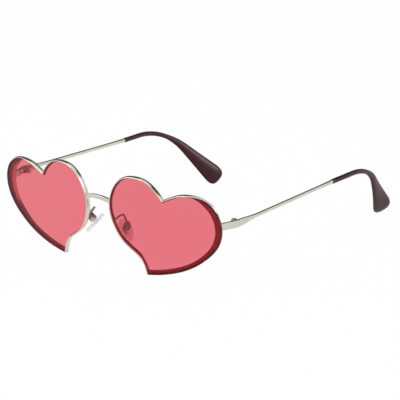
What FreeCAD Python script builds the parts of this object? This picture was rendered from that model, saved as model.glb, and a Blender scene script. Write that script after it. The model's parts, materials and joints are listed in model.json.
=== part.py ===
import FreeCAD, Part
import math
import os
from collections import namedtuple

Vector = FreeCAD.Vector
Rotation = FreeCAD.Rotation
Placement = FreeCAD.Placement

# Lenses, sizes in the plane of each lens, bent round a drum whose crown stands in front of that plane
lens_width = 59.3
lens_height = 47.0
lens_gap = 15.0
lens_thickness = 1.5
lens_curve_radius = 480.0
lens_crown = 0.6
lens_tilt_deg = 5.0
lens_wrap_deg = 6.8

# Rims
bead_width = 0.45
bead_rise = 0.2
bond_gap = 0.04
ledge_width = 0.55
ledge_thickness = 0.65
flange_inset = 0.8
crescent_width = 3.6
crescent_thickness = 2.2
crescent_inset = 1.4

# Bridge
bridge_arch = 1.6
bridge_bow = 1.3
bridge_height = 1.7
bridge_depth = 1.3

# End pieces, from the rims back to the hinges
hinge_setback = 21.6
lug_thickness = 1.3
lug_height = 3.4
lug_toe_in = 1.9
lug_straight = 1.2
lug_bend_radius = 3.0
left_hinge_drop = 0.8
right_hinge_drop = -1.2
butt_gap = 0.12

# Hinges
hinge_axis_inset = 3.1
knuckle_diameter = 2.8
knuckle_height = 0.8
knuckle_gap = 0.06
leaf_thickness = 0.9
front_leaf_length = 3.0
temple_leaf_length = 3.6
leaf_height = 2.1
leaf_clearance = 0.2
hinge_screw_diameter = 1.2
hinge_screw_head_diameter = 2.1
hinge_screw_head_height = 0.3
screw_slot_width = 0.35
running_clearance = 0.03

# Temples
flare_length = 13.5
wire_height = 1.85
wire_width = 1.5
swell_length = 16.0
swell_height = 2.1
swell_width = 1.7
temple_length = 73.6
core_diameter = 1.2

# Temple tips
tip_diameter = 2.45
tip_length = 79.0
left_tip_lead = 16.8
left_tip_bend_radius = 35.4
left_tip_rise = 0.5
left_tip_drop_deg = 43.1
left_tip_inward_deg = 21.2
left_paddle_twist_deg = 50.0
right_tip_lead = 11.7
right_tip_bend_radius = 44.1
right_tip_rise = -0.88
right_tip_drop_deg = 44.6
right_tip_inward_deg = 19.2
right_paddle_twist_deg = -4.0
paddle_width = 11.8
paddle_thickness = 3.8
core_setback = 14.0
core_clearance = 0.03

# Nose pads
pad_spacing = 20.4
pad_setback = 9.1
pad_drop = 11.6
pad_flare_deg = 42.0
pad_splay_deg = 24.0
pad_length = 12.4
pad_width = 7.0
pad_thickness = 1.8
pad_edge_radius = 0.75
pad_mount_offset = 0.8
core_plate_length = 4.6
core_plate_width = 2.6
core_plate_thickness = 0.5
eye_width = 2.2
eye_thickness = 0.9
eye_reach = 1.4
eye_end = 1.0
eye_gap = 0.1
box_wall = 0.6
box_height = 2.9
box_stand_off = 0.4
box_back_gap = 0.35
box_back_wall = 0.9
pad_screw_diameter = 1.0
pad_screw_head_diameter = 1.8
pad_screw_head_height = 0.4

# Pad arms
arm_diameter = 0.9
arm_reach = 5.3
arm_climb = 1.7
arm_lean = 0.6
arm_bend_radius = 1.0

# Making of outlines and the resting pose
overrun = 1.0
mesh_step = 0.02
outline_steps = 32
settle_rounds = 8
tip_steps = 26

# Heart outline from the notch to the tip, as shares of lens width and height
nasal_shares = [
    (0.497, 0.801), (0.4305, 0.907), (0.355, 0.976), (0.261, 1.000), (0.1425, 0.972),
    (0.053, 0.8635), (0.000, 0.660), (0.0225, 0.490), (0.0855, 0.348), (0.1855, 0.246),
    (0.258, 0.175), (0.296, 0.089), (0.316, 0.004),
]
temporal_shares = [
    (0.497, 0.801), (0.571, 0.846), (0.658, 0.886), (0.7585, 0.896), (0.868, 0.865),
    (0.954, 0.775), (1.000, 0.596), (0.963, 0.423), (0.856, 0.271), (0.6985, 0.140),
    (0.513, 0.052), (0.316, 0.004),
]

# Middle of the lens curve across the lens, and height of the hinges on the lens
curve_centre_share = 0.448
hinge_height_share = 0.638

# Places of the bridge and pad arms along the nasal branch
bridge_place_share = 0.497
arm_place_share = 0.617

# Where the bead fades into the inset flange, along the temporal branch
bead_fade_shares = (0.28, 0.44)

# Inset of the flange along the temporal branch, where 1 is the full inset
flange_inset_shares = [(0.00, 1.00), (0.55, 1.00), (0.68, 0.40), (0.80, 0.10), (1.00, 0.00)]

# Width of the crescent along the temporal branch, from the ledge to its full width
crescent_shares = [
    (0.00, 0.00), (0.18, 0.00), (0.22, 0.35), (0.26, 0.68), (0.34, 0.95), (0.42, 1.00),
    (0.50, 0.88), (0.60, 0.68), (0.70, 0.55), (0.85, 0.50), (1.00, 0.45),
]

# Temple tip, along its length: where the paddle begins to widen and where its end rounds off
paddle_start_share = 0.415
paddle_round_share = 0.89
paddle_end_share = 0.25
paddle_swell_power = 1.2
paddle_round_power = 2.5
paddle_blunt_power = 3.3
station_crowding = 1.6

# Corner rounding of the temple's sections, as a share of the shorter side
flat_corner_share = 0.20
wire_corner_share = 0.48

rim_depth = lens_thickness + ledge_thickness
bead_reach = bond_gap + bead_width
barrel_height = 3 * knuckle_height + 2 * knuckle_gap
lens_place = Placement(
    Vector(0, 0, 0),
    Rotation(Vector(1, 0, 0), lens_tilt_deg) * Rotation(Vector(0, 0, 1), lens_wrap_deg),
)
curve_x = lens_gap / 2 + curve_centre_share * lens_width
curve_y = lens_curve_radius - lens_crown


def on_lens(across, depth, up):
    """Point at a depth behind the curved front of the lens, in the worn frame."""
    reach = math.sqrt((lens_curve_radius - depth) ** 2 - (across - curve_x) ** 2)
    return lens_place.multVec(Vector(across, curve_y - reach, up))


# Middle of the strips that carry the hinges, behind the outer edge of the lens
strip_x = on_lens(lens_gap / 2 + lens_width, lens_thickness, 0).x
axis_x = strip_x + lug_thickness / 2 - hinge_axis_inset


def lens_point(across_share, up_share):
    """Point of the heart outline in the flat lens frame: X across, Y into the lens, Z up."""
    across = lens_gap / 2 + across_share * lens_width
    return Vector(across, 0, (up_share - hinge_height_share) * lens_height)


def spline(points):
    """Smooth curve through points."""
    curve = Part.BSplineCurve()
    curve.interpolate(points)
    return curve


nasal_branch = spline([lens_point(*share) for share in nasal_shares])
temporal_branch = spline([lens_point(*share) for share in temporal_shares])


def eased(share):
    """Smooth step from 0 to 1."""
    held = min(max(share, 0.0), 1.0)
    return held * held * (3 - 2 * held)


def table_value(table, share):
    """Value at a share along a table of (share, value) rows."""
    for (start, low), (end, high) in zip(table, table[1:]):
        if share <= end:
            return low + (high - low) * (share - start) / (end - start)
    return table[-1][1]


def rim_edge(share):
    """Reach of the rim beyond the lens on the temporal branch: bead first, then inset flange."""
    start, end = bead_fade_shares
    fade = eased((share - start) / (end - start))
    inset = flange_inset * table_value(flange_inset_shares, share)
    return bead_reach - (bead_reach + inset) * fade


def opening_edge(share):
    """Reach of the rim's opening, inside the lens edge, on the temporal branch."""
    return -ledge_width - (crescent_width - ledge_width) * table_value(crescent_shares, share)


def shifted(branch, outward, reach):
    """Points of a branch moved outwards by reach(share), with the headings at both ends."""
    first = branch.FirstParameter
    span = branch.LastParameter - first
    points = []
    for step in range(outline_steps + 1):
        share = step / outline_steps
        heading = branch.tangent(first + span * share)[0]
        normal = Vector(heading.z, 0, -heading.x) * outward
        points.append(branch.value(first + span * share) + normal * reach(share))
    return points, branch.tangent(first)[0], branch.tangent(first + span)[0]


def crossing(point, heading, other_point, other_heading):
    """Where two lines in the lens plane cross."""
    gap = other_point - point
    turn = heading.x * other_heading.z - heading.z * other_heading.x
    return point + heading * ((gap.x * other_heading.z - gap.z * other_heading.x) / turn)


def trimmed(points, corner, heading):
    """Points that lie past a corner along a heading, with the corner in front of them."""
    step = (points[1] - points[0]).Length
    kept = list(points)
    while (kept[0] - corner).dot(heading) < step / 2:
        kept.pop(0)
    return [corner] + kept


def heart(nasal_reach, temporal_reach):
    """Closed heart outline whose two branches are moved outwards by their own reach."""
    nasal, nasal_start, nasal_end = shifted(nasal_branch, 1, nasal_reach)
    temporal, temporal_start, temporal_end = shifted(temporal_branch, -1, temporal_reach)
    notch = crossing(nasal[0], nasal_start, temporal[0], temporal_start)
    tip = crossing(nasal[-1], nasal_end, temporal[-1], temporal_end)
    edges = []
    for points, start, end in ((nasal, nasal_start, nasal_end), (temporal, temporal_start, temporal_end)):
        from_notch = trimmed(points, notch, start)
        from_tip = trimmed(from_notch[::-1], tip, end * -1)
        edges.append(spline(from_tip).toShape())
    return Part.Wire(Part.__sortEdges__(edges))


def drum(depth):
    """Drum whose wall lies at a depth behind the curved front of the lens."""
    foot = Vector(curve_x, curve_y, -2 * lens_height)
    return Part.makeCylinder(lens_curve_radius - depth, 4 * lens_height, foot)


def heart_prism(outline):
    """Heart outline drawn far out in front of the lens and behind it."""
    return Part.Face(outline).extrude(Vector(0, 2 * lens_height, 0)).translated(Vector(0, -lens_height, 0))


def heart_plate(outline, front, back):
    """Heart outline made a curved plate between two depths."""
    return heart_prism(outline).common(drum(front)).cut(drum(back))


def nasal_point(share, depth, inset):
    """Point behind the nasal edge of the lens at a share along it, inset towards the lens."""
    first = nasal_branch.FirstParameter
    edge = nasal_branch.value(first + (nasal_branch.LastParameter - first) * share)
    return on_lens(edge.x + inset, depth, edge.z)


def rounded_section(centre, width, height, corner_share):
    """Rounded rectangle across the Y axis, as a wire."""
    radius = corner_share * min(width, height)
    side = width / 2 - radius
    top = height / 2 - radius
    edges = []
    corners = [Vector(side, 0, top), Vector(-side, 0, top), Vector(-side, 0, -top), Vector(side, 0, -top)]
    for quarter, corner in enumerate(corners):
        turns = [math.radians(90 * quarter + turn) for turn in (0, 45, 90)]
        arc = [Vector(math.cos(turn), 0, math.sin(turn)) * radius for turn in turns]
        here = centre + corner
        there = centre + corners[(quarter + 1) % len(corners)]
        edges.append(Part.Arc(here + arc[0], here + arc[1], here + arc[2]).toShape())
        edges.append(Part.LineSegment(here + arc[2], there + arc[2]).toShape())
    return Part.Wire(edges)


def bent_path(points, radius):
    """Straight runs joined by tangent arcs of one radius."""
    edges = []
    start = points[0]
    for before, corner, after in zip(points, points[1:], points[2:]):
        incoming = (corner - before).normalize()
        outgoing = (after - corner).normalize()
        half_turn = incoming.getAngle(outgoing) / 2
        back_off = radius * math.tan(half_turn)
        enter = corner - incoming * back_off
        leave = corner + outgoing * back_off
        inward = (outgoing - incoming).normalize()
        middle = corner + inward * (radius / math.cos(half_turn) - radius)
        edges.append(Part.LineSegment(start, enter).toShape())
        edges.append(Part.Arc(enter, middle, leave).toShape())
        start = leave
    edges.append(Part.LineSegment(start, points[-1]).toShape())
    return Part.Wire(edges)


def rod(path, diameter):
    """Round rod along a path."""
    first = path.Edges[0]
    heading = first.tangentAt(first.FirstParameter)
    ring = Part.Circle(first.valueAt(first.FirstParameter), heading, diameter / 2).toShape()
    return path.makePipeShell([Part.Wire(ring)], True, False)


def block(low, high):
    """Box between two corners."""
    size = high - low
    return Part.makeBox(size.x, size.y, size.z, low)


def slotted_head(base, axis, diameter, height):
    """Screw head on a base point, with a driver slot across its top."""
    head = Part.makeCylinder(diameter / 2, height, Vector(0, 0, 0), Vector(0, 0, 1))
    slot = block(Vector(-diameter, -screw_slot_width / 2, height / 2),
                 Vector(diameter, screw_slot_width / 2, height + overrun))
    head = head.cut(slot)
    head.Placement = Placement(base, Rotation(Vector(0, 0, 1), axis))
    return head


# Rim and lens of one side
lens_outline = heart(lambda share: 0.0, lambda share: 0.0)
pocket_outline = heart(lambda share: bond_gap, lambda share: bond_gap)
rim_outline = heart(lambda share: bead_reach, rim_edge)
opening_outline = heart(lambda share: -ledge_width, opening_edge)
crescent_outline = heart(lambda share: -2 * ledge_width, lambda share: -crescent_inset)


def make_lens():
    """Curved heart plate."""
    lens = heart_plate(lens_outline, 0, lens_thickness)
    return lens.transformed(lens_place.toMatrix())


def make_rim_blank():
    """Rim without its opening and pocket, which is what its neighbours butt against."""
    blank = heart_plate(rim_outline, -bead_rise, rim_depth)
    return blank.transformed(lens_place.toMatrix())


def make_rim():
    """Metal heart: bead round the lobes and nasal side, ledge and crescent behind the lens."""
    rim = heart_plate(rim_outline, -bead_rise, rim_depth)
    pocket = heart_prism(pocket_outline).cut(drum(lens_thickness))
    crescent = heart_plate(crescent_outline, lens_thickness, lens_thickness + crescent_thickness)
    rim = rim.cut(pocket).fuse(crescent).cut(heart_prism(opening_outline)).removeSplitter()
    return rim.transformed(lens_place.toMatrix())


def in_front_of_rim_back():
    """Everything in front of the rim's back face, to cut what is soldered on that face."""
    reach = lens_gap + lens_width
    room = block(Vector(-reach, -reach, -lens_height), Vector(reach, lens_height, lens_height))
    return room.cut(drum(rim_depth)).transformed(lens_place.toMatrix())


def make_bridge(rim_blank):
    """Arched flat wire between the rims, cut to their outer walls."""
    end = nasal_point(bridge_place_share, rim_depth / 2, 0)
    crown = Vector(0, end.y - bridge_bow, end.z + bridge_arch)
    arc = Part.Arc(Vector(-end.x, end.y, end.z), crown, end).toShape()
    heading = arc.tangentAt(arc.FirstParameter)
    section = rounded_section(Vector(0, 0, 0), bridge_depth, bridge_height, wire_corner_share)
    section.Placement = Placement(
        Vector(-end.x, end.y, end.z), Rotation(Vector(0, -1, 0), heading, Vector(0, 0, 1), "YZX"))
    bridge = Part.Wire(arc).makePipeShell([section], True, False)
    return bridge.cut(rim_blank).cut(mirrored(rim_blank))


# Each arm has its own setting: drop of the hinge, then lead, bend, start, heading and turn of the tip
ArmSetting = namedtuple("ArmSetting", "hinge_drop lead bend_radius rise drop_deg inward_deg twist_deg")
left_arm = ArmSetting(left_hinge_drop, left_tip_lead, left_tip_bend_radius, left_tip_rise,
                      left_tip_drop_deg, left_tip_inward_deg, left_paddle_twist_deg)
right_arm = ArmSetting(right_hinge_drop, right_tip_lead, right_tip_bend_radius, right_tip_rise,
                       right_tip_drop_deg, right_tip_inward_deg, right_paddle_twist_deg)


def make_end_piece(arm):
    """Lug from the rim's back face to the hinge, with a bend just before it."""
    foot = on_lens(lens_gap / 2 + lens_width - flange_inset - lug_thickness / 2, lens_thickness, 0)
    end_y = hinge_setback - butt_gap / 2
    start = Vector(strip_x - lug_toe_in, foot.y - overrun, 0)
    corner = Vector(strip_x, end_y - lug_straight, -arm.hinge_drop)
    path = bent_path([start, corner, Vector(strip_x, end_y, -arm.hinge_drop)], lug_bend_radius)
    heading = path.Edges[0].tangentAt(path.Edges[0].FirstParameter)
    section = rounded_section(Vector(0, 0, 0), lug_thickness, lug_height, flat_corner_share)
    section.Placement = Placement(start, Rotation(Vector(0, 1, 0), heading))
    lug = path.makePipeShell([section], True, False)
    return lug.cut(in_front_of_rim_back())


def barrel_foot(arm):
    """Lowest point of a hinge's axis within its barrel."""
    return Vector(axis_x, hinge_setback, -arm.hinge_drop - barrel_height / 2)


def knuckle(arm, level, behind):
    """One hinge knuckle with the web to its leaf, bored for the screw."""
    low = barrel_foot(arm).z + level * (knuckle_height + knuckle_gap)
    barrel = Part.makeCylinder(knuckle_diameter / 2, knuckle_height, Vector(axis_x, hinge_setback, low))
    near_y = hinge_setback
    far_y = hinge_setback + behind * (knuckle_diameter / 2 + leaf_clearance + leaf_thickness)
    inner_x = strip_x - lug_thickness / 2 - leaf_thickness / 2
    web = block(Vector(axis_x, min(near_y, far_y), low),
                Vector(inner_x, max(near_y, far_y), low + knuckle_height))
    bore = Part.makeCylinder(hinge_screw_diameter / 2 + running_clearance, barrel_height, barrel_foot(arm))
    return barrel.fuse(web).cut(bore)


def make_leaf(arm, levels, behind, length):
    """Hinge leaf soldered on the inner face of its strip, with its knuckles."""
    outer_x = strip_x - lug_thickness / 2
    near_y = hinge_setback + behind * (knuckle_diameter / 2 + leaf_clearance)
    far_y = near_y + behind * length
    plate = block(Vector(outer_x - leaf_thickness, min(near_y, far_y), -arm.hinge_drop - leaf_height / 2),
                  Vector(outer_x, max(near_y, far_y), -arm.hinge_drop + leaf_height / 2))
    for level in levels:
        plate = plate.fuse(knuckle(arm, level, behind))
    return plate.removeSplitter()


def make_hinge_screw(arm):
    """Hinge screw: shank through the knuckles and a slotted head on top."""
    foot = barrel_foot(arm)
    shank = Part.makeCylinder(hinge_screw_diameter / 2, barrel_height, foot)
    head = slotted_head(foot + Vector(0, 0, barrel_height), Vector(0, 0, 1),
                        hinge_screw_head_diameter, hinge_screw_head_height)
    return shank.fuse(head).removeSplitter()


def tip_path(arm, length_left):
    """Centre line of the tip: lead, bend and straight run, ending a length before the paddle's end."""
    drop = math.radians(arm.drop_deg)
    inward = math.radians(arm.inward_deg)
    heading = Vector(-math.sin(inward) * math.cos(drop), math.cos(inward) * math.cos(drop), -math.sin(drop))
    turn = Vector(0, 1, 0).getAngle(heading)
    back_off = arm.bend_radius * math.tan(turn / 2)
    run = tip_length - arm.lead - arm.bend_radius * turn - length_left
    start = Vector(strip_x, hinge_setback + temple_length, arm.rise)
    corner = start + Vector(0, arm.lead + back_off, 0)
    return bent_path([start, corner, corner + heading * (back_off + run)], arm.bend_radius)


def along_path(path, share):
    """Point and heading at a share of a path's length."""
    left = share * path.Length
    for edge in path.OrderedEdges:
        if left <= edge.Length + mesh_step:
            parameter = edge.getParameterByLength(min(left, edge.Length))
            return edge.valueAt(parameter), edge.tangentAt(parameter)
        left -= edge.Length


def make_temple(arm):
    """Flared strip that narrows to a wire, with a core that goes on inside the tip."""
    mid_flare_height = (2 * lug_height + wire_height) / 3
    stations = [
        (butt_gap / 2, lug_thickness, lug_height, flat_corner_share),
        (flare_length / 3, lug_thickness, mid_flare_height, flat_corner_share),
        (flare_length, wire_width, wire_height, wire_corner_share),
        (temple_length - swell_length, wire_width, wire_height, wire_corner_share),
        (temple_length, swell_width, swell_height, wire_corner_share),
    ]
    wires = []
    for past_hinge, width, height, corner_share in stations:
        rise = (arm.hinge_drop + arm.rise) * past_hinge / temple_length
        centre = Vector(strip_x, hinge_setback + past_hinge, rise - arm.hinge_drop)
        wires.append(rounded_section(centre, width, height, corner_share))
    strip = Part.makeLoft(wires, True, True)
    return strip.fuse(rod(tip_path(arm, core_setback), core_diameter)).removeSplitter()


def paddle_swell(place):
    """Growth from the round sleeve to the full paddle at a share of the tip's length."""
    return max((place - paddle_start_share) / (1 - paddle_start_share), 0.0) ** paddle_swell_power


def paddle_rounding(place):
    """Share of its width that the paddle keeps as its end rounds off."""
    past = max((place - paddle_round_share) / (1 - paddle_round_share), 0.0)
    return max(max(1 - past ** paddle_round_power, 0.0) ** (1 / paddle_blunt_power), paddle_end_share)


def make_temple_tip(arm):
    """Moulded sleeve over the core: round at its start, widening to a flat, twisted, blunt paddle."""
    path = tip_path(arm, 0)
    wires = []
    for step in range(tip_steps + 1):
        place = 1 - (1 - step / tip_steps) ** station_crowding
        centre, heading = along_path(path, place)
        swell = paddle_swell(place)
        width = (tip_diameter + (paddle_width - tip_diameter) * swell) * paddle_rounding(place)
        thickness = (tip_diameter + (paddle_thickness - tip_diameter) * swell) * paddle_rounding(place)
        side = heading.cross(Vector(0, 0, 1)).normalize()
        section = rounded_section(Vector(0, 0, 0), thickness, width, wire_corner_share)
        upright = Rotation(side, heading, side.cross(heading), "YXZ")
        section.Placement = Placement(centre, upright * Rotation(Vector(0, 1, 0), arm.twist_deg * swell))
        wires.append(section)
    sleeve = Part.makeLoft(wires, True, True)
    bore = rod(tip_path(arm, core_setback - core_clearance), core_diameter + 2 * core_clearance)
    return sleeve.cut(bore)


# Frame of a nose pad: X away from the nose, Y along the pad screw, Z up along the pad
pad_place = Placement(
    Vector(pad_spacing / 2, pad_setback, -pad_drop),
    Rotation(Vector(0, 0, 1), -pad_splay_deg) * Rotation(Vector(0, 1, 0), -pad_flare_deg),
)
eye_centre = Vector(eye_reach, 0, pad_mount_offset)
cheek_y = eye_thickness / 2 + eye_gap
box_y = cheek_y + box_wall
box_back = eye_reach + math.hypot(eye_end, eye_width / 2) + box_back_gap


def core_plate(grow):
    """Plate inside the pad, grown by a clearance for its cavity."""
    middle = -pad_thickness / 2
    half = Vector(core_plate_thickness, core_plate_width, core_plate_length) / 2 + Vector(grow, grow, grow)
    return block(Vector(middle, 0, 0) - half, Vector(middle, 0, 0) + half)


def core_eye(grow):
    """Eye that stands out of the pad's back for the screw, grown by a clearance."""
    half_width = eye_width / 2 + grow
    low = Vector(-pad_thickness / 2, -eye_thickness / 2 - grow, pad_mount_offset - half_width)
    high = Vector(eye_reach + eye_end, eye_thickness / 2 + grow, pad_mount_offset + half_width)
    return block(low, high)


def make_pad_core():
    """Metal insert of a nose pad: plate and eye, with the eye bored for the pad screw."""
    bore = Part.makeCylinder(pad_screw_diameter / 2 + running_clearance, 2 * box_y,
                             eye_centre - Vector(0, box_y, 0), Vector(0, 1, 0))
    return core_plate(0).fuse(core_eye(0)).cut(bore).removeSplitter()


def make_nose_pad():
    """Soft oval pad, hollow where its core sits."""
    oval = Part.Ellipse(Vector(0, 0, 0), pad_length / 2, pad_width / 2).toShape()
    disc = Part.Face(Part.Wire(oval)).extrude(Vector(0, 0, pad_thickness))
    rims = [edge for edge in disc.Edges if edge.Curve.TypeId == "Part::GeomEllipse"]
    disc = disc.makeFillet(pad_edge_radius, rims)
    disc.Placement = Placement(
        Vector(0, 0, 0), Rotation(Vector(0, 0, 1), Vector(0, 1, 0), Vector(-1, 0, 0), "XYZ"))
    return disc.cut(core_plate(core_clearance)).cut(core_eye(core_clearance))


def make_pad_box():
    """Small cup on the arm whose two cheeks hold the eye."""
    shell = block(Vector(box_stand_off, -box_y, pad_mount_offset - box_height / 2),
                  Vector(box_back + box_back_wall, box_y, pad_mount_offset + box_height / 2))
    slot = block(Vector(box_stand_off - overrun, -cheek_y, pad_mount_offset - box_height / 2 - overrun),
                 Vector(box_back, cheek_y, pad_mount_offset + box_height / 2 + overrun))
    bore = Part.makeCylinder(pad_screw_diameter / 2 + running_clearance, 2 * box_y + overrun,
                             eye_centre - Vector(0, box_y + overrun / 2, 0), Vector(0, 1, 0))
    return shell.cut(slot).cut(bore)


def make_pad_screw():
    """Pad screw through both cheeks and the eye, its head to the front."""
    front = eye_centre - Vector(0, box_y, 0)
    shank = Part.makeCylinder(pad_screw_diameter / 2, 2 * box_y, front, Vector(0, 1, 0))
    head = slotted_head(front, Vector(0, -1, 0), pad_screw_head_diameter, pad_screw_head_height)
    return shank.fuse(head).removeSplitter()


def make_pad_arm():
    """Bent wire from the back of the rim over to the top of the pad box."""
    seat = pad_place.multVec(Vector(box_back + box_back_wall / 2, 0, pad_mount_offset + box_height / 2))
    root = nasal_point(arm_place_share, rim_depth, 0)
    crest = root + Vector(arm_lean, arm_reach, arm_climb)
    start = root - (crest - root).normalize() * overrun
    end = seat + (seat - crest).normalize() * overrun
    arm = rod(bent_path([start, crest, end], arm_bend_radius), arm_diameter)
    reach = pad_length
    box_room = block(Vector(-reach, -reach, -reach), Vector(reach, reach, pad_mount_offset + box_height / 2))
    return arm.cut(in_front_of_rim_back()).cut(box_room.transformed(pad_place.toMatrix()))


def mirrored(shape):
    """Shape on the other side of the nose."""
    return shape.mirror(Vector(0, 0, 0), Vector(1, 0, 0))


def at_pad(shape):
    """Shape from the pad frame, in the worn frame."""
    return shape.transformed(pad_place.toMatrix())


def one_side(arm):
    """Pieces of the wearer's left side by name, for one setting of the arm."""
    rim = make_rim()
    end_piece = make_end_piece(arm).cut(rim)
    temple_leaf = make_leaf(arm, (1,), 1, temple_leaf_length)
    return {
        "rim": rim,
        "lens": make_lens(),
        "end_piece": end_piece,
        "hinge_front_leaf": make_leaf(arm, (0, 2), -1, front_leaf_length).cut(end_piece),
        "hinge_temple_leaf": temple_leaf,
        "hinge_screw": make_hinge_screw(arm),
        "temple": make_temple(arm).cut(temple_leaf),
        "temple_tip": make_temple_tip(arm),
        "pad_arm": make_pad_arm(),
        "pad_box": at_pad(make_pad_box()),
        "pad_screw": at_pad(make_pad_screw()),
        "pad_core": at_pad(make_pad_core()),
        "nose_pad": at_pad(make_nose_pad()),
    }


pieces = {"bridge": make_bridge(make_rim_blank())}
for name, shape in one_side(left_arm).items():
    pieces["left_" + name] = shape
for name, shape in one_side(right_arm).items():
    pieces["right_" + name] = mirrored(shape)


def lowest(points, pitch):
    """Place along Y and height of the lowest point when the worn frame is pitched."""
    rise = math.sin(pitch)
    level = math.cos(pitch)
    low = min(points, key=lambda point: point.y * rise + point.z * level)
    return low.y * level - low.z * rise, low.y * rise + low.z * level


# Pitch at which the hearts' tips and the paddles stand on one level
front_points = pieces["left_lens"].tessellate(mesh_step)[0] + pieces["left_rim"].tessellate(mesh_step)[0]
rear_points = pieces["left_temple_tip"].tessellate(mesh_step)[0]
rear_points += pieces["right_temple_tip"].tessellate(mesh_step)[0]
rest_pitch = 0.0
for settle_round in range(settle_rounds):
    front_y, front_z = lowest(front_points, rest_pitch)
    rear_y, rear_z = lowest(rear_points, rest_pitch)
    rest_pitch += math.atan2(front_z - rear_z, rear_y - front_y)
rest = Placement(Vector(0, 0, 0), Rotation(Vector(1, 0, 0), math.degrees(rest_pitch)))
whole = Part.makeCompound([shape.transformed(rest.toMatrix()) for shape in pieces.values()])
bounds = whole.optimalBoundingBox()
rest.Base = Vector(0, -bounds.Center.y, -bounds.ZMin)

os.makedirs("parts", exist_ok=True)
for name, shape in pieces.items():
    shape.transformed(rest.toMatrix()).exportStep("parts/" + name + ".step")

print("rest pitch", math.degrees(rest_pitch), "shift", rest.Base)
print("size", bounds.XLength, bounds.YLength, bounds.ZLength)
print("left hinge at", rest.multVec(Vector(axis_x, hinge_setback, -left_hinge_drop)))
print("right hinge at", rest.multVec(Vector(-axis_x, hinge_setback, -right_hinge_drop)))
print("pad pivot at", rest.multVec(pad_place.multVec(eye_centre)))
print("hinge axis", rest.Rotation.multVec(Vector(0, 0, 1)))
print("pad axis", rest.Rotation.multVec(pad_place.Rotation.multVec(Vector(0, 1, 0))))
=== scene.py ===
"""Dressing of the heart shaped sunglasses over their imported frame: surfaces, finishes, light and camera.

Sizes are in millimetres in the worn frame: X to the wearer's left, Y back along the temples, Z up, with the
origin between the lenses at the height of the hinges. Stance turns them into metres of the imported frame.
"""
import json
import logging
import math
from dataclasses import dataclass
from enum import Enum

import bmesh
import bpy
import numpy as np
from mathutils import Matrix

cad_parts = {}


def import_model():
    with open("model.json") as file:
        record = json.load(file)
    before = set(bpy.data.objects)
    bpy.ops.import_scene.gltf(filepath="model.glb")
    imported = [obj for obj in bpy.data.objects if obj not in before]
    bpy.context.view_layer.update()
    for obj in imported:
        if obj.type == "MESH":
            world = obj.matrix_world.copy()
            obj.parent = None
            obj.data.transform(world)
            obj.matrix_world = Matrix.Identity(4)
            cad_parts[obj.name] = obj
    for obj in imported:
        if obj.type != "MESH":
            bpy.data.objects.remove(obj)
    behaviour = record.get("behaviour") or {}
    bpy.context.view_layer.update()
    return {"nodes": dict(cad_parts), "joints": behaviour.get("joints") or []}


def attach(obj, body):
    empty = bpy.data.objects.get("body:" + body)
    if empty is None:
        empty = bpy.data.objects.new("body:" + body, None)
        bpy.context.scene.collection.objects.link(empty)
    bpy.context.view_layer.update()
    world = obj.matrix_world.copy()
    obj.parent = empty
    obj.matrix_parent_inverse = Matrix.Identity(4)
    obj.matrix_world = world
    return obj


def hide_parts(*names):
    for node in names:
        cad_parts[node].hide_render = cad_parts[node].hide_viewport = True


LOG = logging.getLogger("sunglasses")
MM = 0.001
UP = np.array([0.0, 0.0, 1.0])


class Side(Enum):
    """Wearer's side, with the sign of X that it lies on."""

    LEFT = 1
    RIGHT = -1

    @property
    def word(self) -> str:
        """Word that the names of this side's pieces begin with."""
        return self.name.lower()


@dataclass(frozen=True)
class Stance:
    """Turn about X and shift that take worn millimetres to packed metres.

    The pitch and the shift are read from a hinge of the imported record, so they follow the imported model.
    """

    pitch_deg: float
    shift: tuple

    @classmethod
    def of_hinge(cls, joint: dict, worn: tuple) -> "Stance":
        """Stance in which a worn hinge point lands on its packed joint.

        Args:
            joint: Packed joint with its axis and position.
            worn: The hinge's point in the worn frame, in millimetres.

        Returns:
            The stance of the whole pair of glasses.
        """
        pitch = math.degrees(math.atan2(-joint["axis"][1], joint["axis"][2]))
        turned = cls(pitch, (0.0, 0.0, 0.0)).points(np.array(worn))
        return cls(pitch, tuple(np.array(joint["pos_m"]) - turned))

    def turned(self, vectors: np.ndarray) -> np.ndarray:
        """Worn vectors turned about X by the pitch."""
        return turn(vectors, 0, self.pitch_deg)

    def points(self, worn: np.ndarray, side: Side = Side.LEFT) -> np.ndarray:
        """Worn points in packed metres, mirrored where they belong to the right side.

        Args:
            worn: Points in millimetres, built for the left side.
            side: Side that the points are for.

        Returns:
            Points in metres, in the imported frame.
        """
        mirrored = worn * np.array([side.value, 1.0, 1.0])
        return self.turned(mirrored * MM) + np.array(self.shift)


def eased(share: np.ndarray) -> np.ndarray:
    """Smooth step from 0 to 1: three times the square less twice the cube."""
    held = np.clip(share, 0.0, 1.0)
    return held * held * (3.0 - 2.0 * held)


def unit(vectors: np.ndarray) -> np.ndarray:
    """Vectors at length 1."""
    return vectors / np.linalg.norm(vectors, axis=-1, keepdims=True)


def between(start: np.ndarray, end: np.ndarray, share: np.ndarray) -> np.ndarray:
    """Values on the straight line from start to end, at a share of it."""
    return start + (end - start) * share


def ramp(place: np.ndarray, start: float, end: float) -> np.ndarray:
    """Share of the way from start to end, held between 0 and 1."""
    return np.clip((place - start) / (end - start), 0.0, 1.0)


def arc(ahead: np.ndarray, inward: np.ndarray, radius: float, angle: np.ndarray) -> np.ndarray:
    """Circle from its start: the radius times the sine runs ahead, and times 1 less the cosine inward."""
    return radius * (np.sin(angle) * ahead + (1 - np.cos(angle)) * inward)


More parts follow.
